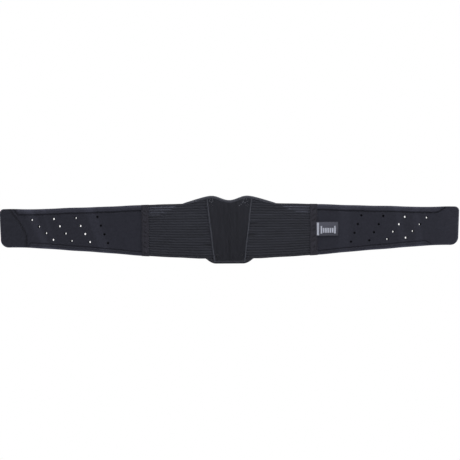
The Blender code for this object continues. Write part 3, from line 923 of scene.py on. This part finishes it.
def hook_pad():
    """Hook tape on the body side of the left end: a rounded plate with rows of small hooks."""
    low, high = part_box("left_hook_pad")
    x0, x1 = -high.x, -low.x
    z0, z1 = low.z + 3 * MM, high.z - 3 * MM
    u, v = grid_shares(x1 - x0, z1 - z0, 3 * MM, 3 * MM, 1 * MM)
    corners = (x1, z1, z0, 12 * MM, 16 * MM)
    heights = z0 + (z1 - z0) * v
    x = x0 + (end_line(heights, *corners) - x0) * u
    z = np.broadcast_to(heights, x.shape)
    d = np.minimum(distance_to(list(zip(x[-1], z[-1])), x, z), x - x0)
    d = np.maximum(np.minimum(d, np.minimum(z - z0, z1 - z)), 0.0)
    plate = slab("left_hook_plate", x, z, -0.4 * MM, 0.5 * MM, d, 0.5 * MM, HOOK, -1)
    stand_in(plate, "hook_pad", "left_hook_pad")
    points, count = [], 0
    radius, pitch, margin = 0.2 * MM, 2.3 * MM, 3 * MM
    for row, hz in enumerate(np.arange(z0 + margin, z1 - margin, pitch)):
        bend = 0.5 * MM * (1 if row % 2 else -1)
        first = x0 + margin + (row % 2) * pitch / 2
        for hx in np.arange(first, end_line(hz, *corners) - margin, pitch):
            count += 1
            # Each hook is square in section and bends over at its tip.
            for lean, y in ((0.0, 0.4), (0.0, 1.1), (0.6, 1.45), (1.3, 1.2)):
                for dx, dz in ((-1, -1), (1, -1), (1, 1), (-1, 1)):
                    points.append((-hx + bend * lean + dx * radius, y * MM, hz + dz * radius))
    hooks = swept("left_hooks", points, [4] * count, 4, HOOK, 30)
    ride("tab", "left", -1, plate, hooks)


# ---------------------------------------------------------------- elastic


def rib_height(x, k):
    """Height of the line at rib number k, counted from the bottom edge; the ribs fan out slightly."""
    low = belt_bottom(x) + 0.5 * MM
    high = belt_top(x) - 0.3 * MM
    return low + (high - low) * k / RIBS


def elastic_grid(x0, x1):
    """Columns a thread turn wide, and rows, counted in ribs, that follow the ribs and their channels."""
    count = int(round((x1 - x0) / (1.45 * MM)))
    in_rib = np.array([0.0, 0.08, 0.22, 0.40, 0.58, 0.72, 0.80, 0.885, 0.915])
    ribs = RIBS + 3
    rows = np.concatenate([k + in_rib for k in range(ribs)] + [[ribs]])
    return x0 + (x1 - x0) * np.arange(count + 1) / count, rows


def pucker(x, z, px, pz, reach):
    """Strength of a fold that runs in from the piping, and each point's height over its line."""
    return ramp((px * MM - x) / (reach * MM)), z - pz * MM - 0.10 * (x - 50 * MM)


def elastic_face(x, z, share, name):
    """Depth of the outer face: round ribs with sunk channels, and puckers beside the piping."""
    depth = 8.7 + 1.35 * np.sqrt(np.clip(1 - ((share - 0.40) / 0.42) ** 2, 0.0, 1.0))
    for px, pz, reach, deep in PUCKERS[name]:
        fade, off = pucker(x, z, px, pz, reach)
        depth = depth - deep * fade * ridge(off, 0, 2.4)
        depth = depth + 0.4 * deep * fade * ridge(off, 6, 3)
    depth = depth - 0.5 * rise(x, 196, 5)
    slack = 0.22 * np.sin(x / (17 * MM)) * np.sin(z / (26 * MM) + x / (50 * MM))
    return -np.maximum(depth + slack, 8.3) * MM


def elastic_top(x):
    """Top edge of the elastic: the belt's own, and further in a line below the back panel's edge."""
    return np.where(x < 111 * MM, np.maximum(crest(x) - 3.9 * MM, belt_top(x)), belt_top(x))


def elastic_tone(name):
    """Brightness of the elastic: painted shade in the channels and folds, and painted light where light
    shows through the ladder's openings.
    """

    def tone(x, z):
        place = (z - rib_height(x, 0)) / (rib_height(x, 1) - rib_height(x, 0))
        number = np.floor(place)
        off_channel = place - number - CHANNEL
        value = 1 - bell(off_channel / 0.07)
        for k, start in LIGHT_THROUGH_LADDER[name].items():
            pale = ramp((x - start * MM) / (14 * MM)) * (number == k)
            glow = 18.0 - 3.2 * (RIBS - 2 - k)
            value = value + glow * pale * bell(off_channel / 0.08)
        for px, pz, reach, deep in PUCKERS[name]:
            fade, off = pucker(x, z, px, pz, reach)
            value = value - 0.35 * deep * fade * ridge(off, 0, 2.6)
        return np.maximum(value, 0.0)

    return tone


def elastic_length(name, side, label, x0, x1, slanted):
    """Ribbed ladder elastic over a length, cut off below the back panel's top edge."""
    columns, rows = elastic_grid(x0, x1)
    x = np.repeat(columns[:, None], len(rows), 1)
    z = rib_height(x, rows[None, :])
    if slanted:
        start = stay_line(z) + 0.6 * MM
        x = start + (x1 - start) * (x - x0) / (x1 - x0)
        z = rib_height(x, rows[None, :])
    share = np.broadcast_to(rows - np.floor(rows + 1e-9), z.shape)
    drift = 0.35 * MM * np.sin(x / (21 * MM) + z / (30 * MM))
    z = z + drift * ramp((z - belt_bottom(x)) / (6 * MM)) * ramp((belt_top(x) - z) / (6 * MM))
    limit = elastic_top(x)
    over = z >= limit
    z = np.minimum(z, limit)
    front = elastic_face(x, z, share, name)
    solid = ~(over[:-1, :-1] & over[1:, :-1])
    label = f"{name}_elastic_{label}"
    panel = sheet(label, x, z, front, ELASTIC_BACK, ELASTIC, side, solid, sharp=50)
    keep_tone(panel, elastic_tone(name))
    return panel


def elastic_panels():
    """Two lengths of elastic a side: an inner one, slanted along the stay line, and an outer one."""
    for name, side in SIDES:
        inner = elastic_length(name, side, "inner", 46 * MM, ELASTIC_SPLIT, True)
        ride("wrap", name, side, inner)
        outer = elastic_length(name, side, "outer", ELASTIC_SPLIT, SEAM_X - 6 * MM, False)
        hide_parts(f"{name}_elastic_panel")
        ride("stretch", name, side, outer)


# ---------------------------------------------------------------- seams


def seam_sewing(name, side):
    """Stitching along both edges of a seam's front tape, and slanted tacks down its middle."""
    low, high = belt_bottom(SEAM_X), belt_top(SEAM_X)
    inset = STRIP_HALF - 1.9 * MM
    rows = []
    for x in (SEAM_X - inset, SEAM_X + inset):
        rows.append([(side * x, STRIP_FACE, z) for z in (low + 2 * MM, high - 2 * MM)])
    edge = stitches(f"{name}_seam_edge_stitching", rows, DARK_THREAD, 3.2 * MM, 2.3 * MM)
    tacks = []
    for k in range(int((high - low - 14 * MM) / TACK_PITCH) + 1):
        reach = (3.4 + 0.8 * math.sin(2.3 * k + side)) * MM
        at = low + 7 * MM + (k + 0.12 * math.sin(3.1 * k + side)) * TACK_PITCH
        inner = (side * (SEAM_X - reach), STRIP_FACE, at)
        outer = (side * (SEAM_X + reach), STRIP_FACE + 0.1 * MM, at + 4.5 * MM)
        tacks.append([inner, outer])
    return edge, tubes(f"{name}_seam_tacks", tacks, 1.4 * MM, DARK_THREAD, 6, 0.4)


def seam_strips():
    """Sewn tape over the seam of elastic and wing, a fold under it, and tape behind."""
    x0, x1 = SEAM_X - STRIP_HALF, SEAM_X + STRIP_HALF
    for name, side in SIDES:
        u, v = grid_shares(2 * STRIP_HALF, 130 * MM, 1.6 * MM, 2.2 * MM, 0.8 * MM)
        x = x0 + (x1 - x0) * u + 0 * v
        z = belt_bottom(x) - 0.4 * MM + (belt_top(x) - belt_bottom(x) + 0.8 * MM) * v
        d = np.minimum(np.minimum(x - x0, x1 - x), 140 * MM * np.minimum(v, 1 - v))
        d = np.maximum(d, 0.0)
        pull = 0.12 * MM * ridge(d, 1.9, 0.7)
        ripple = 0.15 * MM * np.sin(z / (5.1 * MM) + side) * np.sin(x / (6 * MM))
        sink = ramp((x - SEAM_X + 1 * MM) / (5 * MM)) * 0.5 * MM
        face = STRIP_FACE + pull + ripple + sink
        strip = slab(f"{name}_seam_strip", x, z, face, face + 1.3 * MM, d, 0.8 * MM, STRIP, side)
        stand_in(strip, "seam_strip", f"{name}_seam_strip")
        edge, tacks = seam_sewing(name, side)
        rear = 0.35 * MM - pull
        back = slab(f"{name}_seam_back_tape", x, z, -1.2 * MM, rear, d, 0.8 * MM, BACK_TAPE, side)
        stand_in(back, "edge_tape", f"{name}_seam_tape")
        inner = np.clip(x, x0 + 0.5 * MM, x1 - 0.5 * MM)
        f, b = -10.3 * MM, -1.0 * MM
        fold = slab(f"{name}_seam_fold_over", inner, z, f, b, d, 1.2 * MM, BACK_TAPE, side)
        stand_in(fold, "edge_tape", f"{name}_seam_fold")
        ride("seam", name, side, strip, edge, tacks, back, fold)


# ---------------------------------------------------------------- back panel


def centre_mesh():
    """Ribbed spacer mesh with real pores, crowned over the cushion, in two halves."""
    cell, margin, gap = 1.2 * MM, 3.6 * MM, 0.4 * MM
    columns = int(round(58 * MM / cell))
    rows = int(round(160 * MM / cell))
    i, j = np.arange(columns)[:, None], np.arange(rows)[None, :]
    pore = (i % 3 == 1) & ((j + 2 * ((i // 3) % 2)) % 4 == 0)
    edge = (i < 1) | (i > columns - 3) | (j < 3) | (j > rows - 4)
    u = np.linspace(0.0, 1.0, columns + 1)[:, None]
    v = np.linspace(0.0, 1.0, rows + 1)[None, :]
    for name, side in SIDES:
        x = (stay_line(LIP_Z + 3.5 * MM + (SHOULDER_Z - LIP_Z) * v) - gap) * u
        low, high = lip(x) + margin, crest(x) - margin
        z = low + (high - low) * v
        x = (stay_line(z) - gap) * u
        crown = 0.9 * MM * np.sqrt(np.clip(1 - u**2, 0, 1)) * rounding(np.minimum(v, 1 - v), 0.12)
        ribs = 0.32 * MM * np.cos(2 * np.pi * x / MESH_RIB)
        dents = 0.35 * MM * np.sin(x / (15 * MM) + 1.2 * side) * np.sin(z / (31 * MM))
        front = -10.5 * MM - crown - ribs * (1 - 0.6 * u) + dents
        label, solid = f"{name}_centre_mesh", ~(pore & ~edge)
        panel = sheet(label, x, z, front, front + 0.9 * MM, MESH, side, solid, sharp=60)
        stand_in(panel, "centre_mesh", "centre_mesh_panel", "lumbar_cushion")
        ride("wrap", name, side, panel)


def stays():
    """Flat stays in their pockets, beside the piping; their pale tips show through the mesh."""
    for name, side in SIDES:
        for label, half, tall, front, back, material, slot in (
            ("stay", 4.5, 66, -8.4, -7.2, STAY, "stay"),
            ("stay_pocket", 7.0, 58, -9.1, -8.5, BACK_TAPE, "edge_tape"),
        ):
            half, tall, f, b = half * MM, tall * MM, front * MM, back * MM
            x, z, d = rectangle(-half, half, -tall, tall, 2.2 * MM, 5 * MM, 0.6 * MM)
            x = x + stay_line(z) - 9 * MM
            piece = slab(f"{name}_{label}", x, z, f, b, d, 0.6 * MM, material, side)
            stand_in(piece, slot, f"{name}_{label}")
            ride("wrap", name, side, piece)


def painted_light_flecks():
    """Painted light: pale flecks where light shows through the mesh above each stay pocket's top: a
    ring, and on the right a tail.
    """
    for name, side, mid_x, mid_z, radius, tail in (
        ("left", -1, 44, 73.5, 4.2, 0),
        ("right", 1, 39, 72.5, 5.0, 3),
    ):
        places = []
        for k in range(5):
            turn = 2 * math.pi * k / 5 + 0.9
            places.append((mid_x + radius * math.cos(turn), mid_z + radius * math.sin(turn)))
        for k in range(tail):
            places.append((mid_x - 6 - 4.4 * k, mid_z - 5 - 3.6 * k))
        # Each fleck is painted light, not thread.
        fleck_chains = []
        for x, z in places:
            ends = ((x, z), (x + 1.6, z + 1.2))
            fleck_chains.append([(side * px * MM, LIGHT_FLECK_FACE, pz * MM) for px, pz in ends])
        ride("wrap", name, side, tubes(f"{name}_painted_light_flecks", fleck_chains, 0.75 * MM, LIGHT_FLECK, 6, 0.6))


def pipings():
    """Corded piping on each stay line, with the stitching of its flange."""
    sides = 12
    for name, side in SIDES:
        zs = np.linspace(-80.5 * MM, 79.5 * MM, 150)
        centre = stay_line(zs) + 0.25 * MM * np.sin(zs / (13 * MM) + side)
        points = []
        for cx, cz in zip(centre, zs):
            for a in 2 * np.pi * np.arange(sides) / sides:
                twist = 0.18 * math.cos(2 * (a - cz / (1.9 * MM)))
                r = 1.75 * MM * (1 + twist)
                points.append((side * (cx + r * math.cos(a)), -10.6 * MM + r * math.sin(a), cz))
        cord = swept(f"{name}_piping", points, [len(zs)], sides, PIPING, 80)
        stand_in(cord, "piping", f"{name}_piping")
        path = [(side * (cx - 3.4 * MM), BINDING_FACE, cz) for cx, cz in zip(centre, zs)][4:-6]
        seam = stitches(f"{name}_piping_stitching", [path], THREAD, 3.1 * MM, 2.3 * MM, 0.28 * MM)
        ride("wrap", name, side, cord, seam)


def binding_half(name, side, label, x_end, material, width):
    """Folded edge tape along half of an edge, rounded over the pad's rim, with its stitch line."""
    xs = np.linspace(0.0, x_end, int(x_end / (1.6 * MM)) + 1)
    if label == "top":
        # It narrows towards its outer end.
        edge, sign = crest, 1
        share = 1 - 0.35 * ramp((xs - x_end + 22 * MM) / (22 * MM))
    else:
        # Beyond the piping it widens, to cover the pad that shows below the elastic.
        edge, sign = lip, -1
        share = 1 + 1.3 * rise(xs, 34, 5) * (1 - rise(xs, 46, 14))
    step = 0.2 * MM
    slope = (edge(xs + step) - edge(np.abs(xs - step))) / (2 * step)
    slope[0] = 0.0
    norm = np.hypot(1.0, slope)
    inward = np.stack([slope / norm * sign, -np.ones_like(xs) / norm * sign], 1)
    front, back = BINDING_FACE, 0.25 * MM
    middle, reach = (front + back) / 2, (back - front) / 2
    # Depth in from the edge, and place between the two faces, round the folded tape.
    profile = [(width, -1.0), (width * 0.5, -1.06), (0.9 * MM, -1.0), (0.1 * MM, -0.82)]
    profile += [(-0.45 * MM, -0.5), (-0.6 * MM, 0.0), (-0.45 * MM, 0.5), (0.1 * MM, 0.82)]
    profile += [(0.9 * MM, 1.0), (width * 0.5, 1.05), (width, 1.0), (width, 0.86)]
    profile += [(1.4 * MM, 0.8), (1.2 * MM, 0.0), (1.4 * MM, -0.8), (width, -0.86)]

    def place(k, depth, y):
        return side * (xs[k] + inward[k, 0] * depth), y, edge(xs[k]) + inward[k, 1] * depth

    points = []
    for k in range(len(xs)):
        for depth, out in profile:
            y = middle + reach * out
            if depth == width and out < 0:
                y -= 0.15 * MM * math.sin(xs[k] / (2.7 * MM))
            points.append(place(k, depth * share[k] if depth > 0 else depth, y))
    tape = swept(f"{name}_{label}_binding", points, [len(xs)], len(profile), material, 70)
    stand_in(tape, "edge_tape", f"{name}_{label}_binding")
    if side > 0:
        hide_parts(f"{label}_binding")
    rows = []
    for y in (front - 0.45 * MM, back + 0.35 * MM):
        rows.append([place(k, width * 0.66 * share[k], y) for k in range(len(xs))])
    seam = stitches(f"{name}_{label}_stitching", rows, THREAD, 3.2 * MM, 2.4 * MM, 0.26 * MM)
    ride("wrap", name, side, tape, seam)


def bindings():
    """Edge tapes of the back panel, and the pale trim cord above the bottom one."""
    for name, side in SIDES:
        binding_half(name, side, "top", 116 * MM, TAPE, 6.0 * MM)
        binding_half(name, side, "bottom", 60 * MM, BACK_TAPE, 4.0 * MM)
        trim = np.linspace(0.0, 36.5 * MM, 40)
        path = [(side * x, BINDING_FACE + 0.1 * MM, lip(x) + 5.3 * MM) for x in trim]
        ride("wrap", name, side, tubes(f"{name}_bottom_trim", [path], 0.75 * MM, TAPE, 8))


def pad_end_line(z):
    top, bottom = crest(PAD_TIP_X), lip(PAD_TIP_X)
    return end_line(z, PAD_TIP_X + 6 * MM, top, bottom, top_r=7 * MM, bottom_r=9 * MM)


def pad_channels(x, z):
    """Depth, in mm, of the channels sewn into the pad's body side."""
    x = np.abs(x)
    depth = 1.7 * bell((x - stay_line(z)) / (2.0 * MM))
    depth = np.maximum(depth, 1.3 * bell((x - 0.58 * stay_line(z) + 6 * MM) / (1.9 * MM)))
    edge = np.minimum(crest(x) - z, z - lip(x))
    edge = np.minimum(edge, pad_end_line(z) - x)
    depth = np.maximum(depth, 1.4 * ridge(edge, 11, 1.9))
    outer = x > stay_line(z) + 6 * MM
    inside = outer & (edge > 13 * MM)
    for at, lean in ((30 * MM, -0.20), (0.0, -0.10), (-30 * MM, 0.02)):
        line = at + lean * (x - WRAP_X)
        depth = np.where(inside, np.maximum(depth, 1.2 * bell((z - line) / (1.9 * MM))), depth)
    return depth


def swell(obj, pressure, cap):
    """Puffs a closed fabric shape with a short cloth simulation; no point moves more than the cap."""
    cloth = obj.modifiers.new("cloth", "CLOTH")
    settings = cloth.settings
    settings.quality = 5
    settings.mass = 0.3
    settings.tension_stiffness = settings.compression_stiffness = 25
    settings.shear_stiffness = 10
    settings.bending_stiffness = 2
    settings.use_pressure = True
    settings.uniform_pressure_force = pressure
    settings.effector_weights.gravity = 0.0
    cloth.collision_settings.use_collision = False
    before = coordinates(obj).astype(float)
    for number in range(1, 21):
        bpy.context.scene.frame_set(number)
    evaluate(obj)
    bpy.context.scene.frame_set(1)
    move = coordinates(obj) - before
    # The outline hardly moves, so that the pad still fills its bindings.
    move[:, [0, 2]] *= 0.1
    far = np.linalg.norm(move, axis=1)[:, None]
    move *= np.minimum(1.0, cap / np.maximum(far, 1e-9))
    obj.data.vertices.foreach_set("co", (before + move).astype(np.float32).ravel())


def remesh(obj, voxel):
    """Rebuilds a closed mesh from even cells."""
    made = obj.modifiers.new("remesh", "REMESH")
    made.mode = "VOXEL"
    made.voxel_size = voxel
    evaluate(obj)


def quilt(pad):
    """Presses the sewn channels into the pad's body side, and keeps the pad within its depth."""
    co = coordinates(pad).astype(float)
    rear = rise(co[:, 1], -4.0, 2.0)
    co[:, 1] -= pad_channels(co[:, 0], co[:, 2]) * MM * rear
    co[:, 1] = np.clip(co[:, 1], -6.9 * MM, 1.6 * MM)
    pad.data.vertices.foreach_set("co", co.astype(np.float32).ravel())
    pad.data.shade_smooth()


def pad_half(pad, name, side):
    """One side of the pad, cut at the middle plane and closed there."""
    half = bpy.data.objects.new(f"{name}_back_pad", pad.data.copy())
    bpy.context.scene.collection.objects.link(half)
    work = bmesh.new()
    work.from_mesh(half.data)
    whole = work.verts[:] + work.edges[:] + work.faces[:]
    plane = {"plane_co": (0, 0, 0), "plane_no": (-side, 0, 0), "clear_outer": True}
    cut = bmesh.ops.bisect_plane(work, geom=whole, **plane)
    rim = [e for e in cut["geom_cut"] if isinstance(e, bmesh.types.BMEdge)]
    bmesh.ops.contextual_create(work, geom=rim)
    work.to_mesh(half.data)
    work.free()
    return half


def back_pad():
    """Foam pad on the body side: swollen as cloth, then quilted, then cut in two at the middle."""
    length, height = 2 * PAD_TIP_X, 150 * MM
    u, v = grid_shares(length, height, 3 * MM, 3 * MM, 3 * MM)
    nominal = lip(PAD_TIP_X) + v * (crest(PAD_TIP_X) - lip(PAD_TIP_X))
    x = pad_end_line(nominal) * (2 * u - 1)
    inset = 1.1 * MM
    z = lip(x) + inset + (crest(x) - lip(x) - 2 * inset) * v
    d = np.minimum(np.minimum(u, 1 - u) * length, np.minimum(v, 1 - v) * height)
    pad = slab("pad", x, z, -6.4 * MM, -1.9 * MM, d, 2.2 * MM, PAD)
    remesh(pad, voxel=3.4 * MM)
    swell(pad, pressure=4.0, cap=2.0 * MM)
    fine = pad.modifiers.new("fine", "SUBSURF")
    fine.levels = fine.render_levels = 1
    evaluate(pad)
    quilt(pad)
    for name, side in SIDES:
        half = pad_half(pad, name, side)
        stand_in(half, "lining", f"{name}_pad_wing_foam", f"{name}_pad_wing_lining")
        if side > 0:
            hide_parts("back_pad_foam", "back_pad_lining")
        ride("wrap", name, side, half)
    bpy.data.objects.remove(pad)


# ---------------------------------------------------------------- badge


def raised(name, x0, x1, z0, z1):
    """A small raised bar on the badge."""
    x, z, d = rectangle(x0, x1, z0, z1, 1.2 * MM, 1.6 * MM, 0.5 * MM)
    return slab(name, x, z, -11.7 * MM, -10.7 * MM, d, 0.5 * MM, SILVER)


def badge():
    """Blank rubber label beside the right seam: a raised rim, a pale bar and a row of plain strokes."""
    low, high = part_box("badge")
    x0, x1, z0, z1 = low.x - 3.4 * MM, high.x, low.z, high.z
    x, z, d = rectangle(x0, x1, z0, z1, 1.3 * MM, 1.3 * MM, 1.2 * MM)
    face = -11.0 * MM - 0.35 * MM * (1 - rise(d, 1.6, 0.7))
    label = slab("badge_label", x, z, face, -8.9 * MM, d, 1.0 * MM, BADGE)
    stand_in(label, "badge", "badge")
    margin = 1.8 * MM
    bar = raised("badge_bar_strip", x0 + margin, x0 + margin + 5 * MM, z0 + margin, z1 - margin)
    stand_in(bar, "badge_bar", "badge_bar")
    pieces = [label, bar]
    for k in range(7):
        a = x0 + (11 + 5.6 * k) * MM
        foot, tall = (6 * MM, 19 * MM) if k in (0, 6) else (8 * MM, 12 * MM)
        pieces.append(raised(f"badge_stroke_{k + 1}", a, a + 3.9 * MM, z0 + foot, z0 + foot + tall))
    inset = 1.3 * MM
    a, b, c, e = x0 + inset, x1 - inset, z0 + inset, z1 - inset
    path = [(px, -11.35 * MM, pz) for px, pz in ((a, c), (b, c), (b, e), (a, e), (a, c))]
    pieces.append(stitches("badge_stitching", [path], DARK_THREAD, 2.6 * MM, 1.8 * MM, 0.22 * MM))
    ride("seam", "right", 1, *pieces)


# ---------------------------------------------------------------- stage


def seen_apart(tree, plain, seen, output):
    """Shows one shader to the camera's own rays, and another to all the light."""
    path = tree.nodes.new("ShaderNodeLightPath")
    mix = tree.nodes.new("ShaderNodeMixShader")
    tree.links.new(path.outputs["Is Camera Ray"], mix.inputs[0])
    tree.links.new(plain.outputs[0], mix.inputs[1])
    tree.links.new(seen.outputs[0], mix.inputs[2])
    tree.links.new(mix.outputs[0], output.inputs["Surface"])


def floor():
    """A wide pale floor that the camera sees as white as the background."""
    bpy.ops.mesh.primitive_plane_add(size=14, location=(0, 0, -0.30))
    plane = bpy.context.object
    plane.name = "floor"
    material = bpy.data.materials.new("floor")
    material.use_nodes = True
    tree = material.node_tree
    shader = tree.nodes["Principled BSDF"]
    shader.inputs["Base Color"].default_value = (0.55, 0.55, 0.57, 1.0)
    shader.inputs["Roughness"].default_value = 0.9
    glow = tree.nodes.new("ShaderNodeEmission")
    seen_apart(tree, shader, glow, tree.nodes["Material Output"])
    plane.data.materials.append(material)


def studio():
    """White behind the belt, with a soft light that fades towards the ground."""
    world = bpy.data.worlds.new("studio")
    bpy.context.scene.world = world
    world.use_nodes = True
    tree = world.node_tree
    tree.nodes.remove(tree.nodes["Background"])
    seen = tree.nodes.new("ShaderNodeBackground")
    seen.inputs["Color"].default_value = (1, 1, 1, 1)
    fill = tree.nodes.new("ShaderNodeBackground")
    fill.inputs["Color"].default_value = (0.93, 0.94, 1.0, 1)
    place = tree.nodes.new("ShaderNodeTexCoord")
    split = tree.nodes.new("ShaderNodeSeparateXYZ")
    tree.links.new(place.outputs["Generated"], split.inputs[0])
    grade = tree.nodes.new("ShaderNodeMapRange")
    for socket, number in zip(grade.inputs[1:5], (-1.0, 1.0, 0.08, 0.50)):
        socket.default_value = number
    tree.links.new(split.outputs["Z"], grade.inputs["Value"])
    tree.links.new(grade.outputs[0], fill.inputs["Strength"])
    seen_apart(tree, fill, seen, tree.nodes["World Output"])


def lamps():
    """Soft lamps from above, in front and behind, and one beyond each end for the rims."""
    for name, location, size, energy in (
        ("key", (0.4, -1.1, 2.1), (2.4, 0.9), 20),
        ("fill", (-1.4, -2.1, 0.4), (1.2, 1.4), 4.2),
        ("side", (1.9, -0.9, 0.5), (0.8, 1.2), 5),
        ("back", (0.0, 2.2, 1.4), (2.4, 1.2), 28),
        ("left_rim", (-2.0, 0.7, -0.1), (0.8, 1.0), 22),
        ("right_rim", (2.0, 0.7, -0.1), (0.8, 1.0), 22),
    ):
        data = bpy.data.lights.new(name, "AREA")
        data.shape = "RECTANGLE"
        data.size, data.size_y = size
        data.energy = energy
        data.color = (0.95, 0.95, 1.0)
        obj = bpy.data.objects.new(name, data)
        obj.location = location
        obj.rotation_euler = (-Vector(location)).to_track_quat("-Z", "Y").to_euler()
        bpy.context.scene.collection.objects.link(obj)


def camera():
    """Straight at the outer face, with the belt as wide as the picture and turned a hair."""
    data = bpy.data.cameras.new("camera")
    distance, width, sensor = 2.2, 1.147, 36
    data.sensor_width = sensor
    data.lens = sensor * (distance + WING_FACE) / width
    obj = bpy.data.objects.new("camera", data)
    obj.location = (1.4 * MM, -distance, 0.3 * MM)
    obj.rotation_euler = (math.pi / 2, math.radians(0.35), 0)
    bpy.context.scene.collection.objects.link(obj)
    bpy.context.scene.camera = obj


wings()
closing_patch()
hook_pad()
elastic_panels()
seam_strips()
centre_mesh()
stays()
painted_light_flecks()
pipings()
bindings()
back_pad()
badge()
floor()
studio()
lamps()
camera()
bpy.context.scene.view_settings.view_transform = "Standard"
